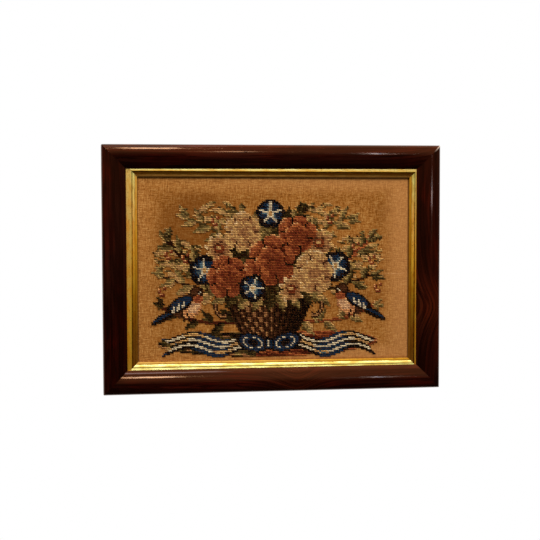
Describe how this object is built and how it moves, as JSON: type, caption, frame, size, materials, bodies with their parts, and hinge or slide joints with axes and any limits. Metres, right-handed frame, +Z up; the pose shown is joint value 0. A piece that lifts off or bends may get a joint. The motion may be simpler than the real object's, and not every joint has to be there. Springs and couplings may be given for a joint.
{
  "type": "framed tapestry, a woolwork picture on linen canvas in a wooden picture frame",
  "caption": "Woolwork picture on linen canvas, behind a narrow gilt slip in a convex rosewood frame with mitred corners, closed by a plain back board.",
  "frame": {"origin": "the middle of the top rail's flat back face, where the picture meets the wall", "axes": "+X to the right as the picture is seen, +Y into the wall, +Z up; the picture faces -Y"},
  "size_m": [0.41, 0.023, 0.297],
  "materials": {
    "rosewood": "dark rosewood, streaked along each rail, French polished to a gloss and worn at the arrises",
    "gilt": "gold leaf over gesso on wood, rubbed, with dark specks and a darkened groove",
    "linen": "plain-weave linen canvas, toned ochre with age, matt",
    "wool": "dyed worsted wool in cross-stitch: olives, browns, rust, salmon, blues and cream",
    "deal": "bare softwood board, darkened with age"
  },
  "bodies": {
    "root": {"rail_top": "rosewood", "rail_bottom": "rosewood", "rail_left": "rosewood", "rail_right": "rosewood", "slip_top": "gilt", "slip_bottom": "gilt", "slip_left": "gilt", "slip_right": "gilt", "canvas": "linen", "backboard": "deal"}
  },
  "joints": []
}
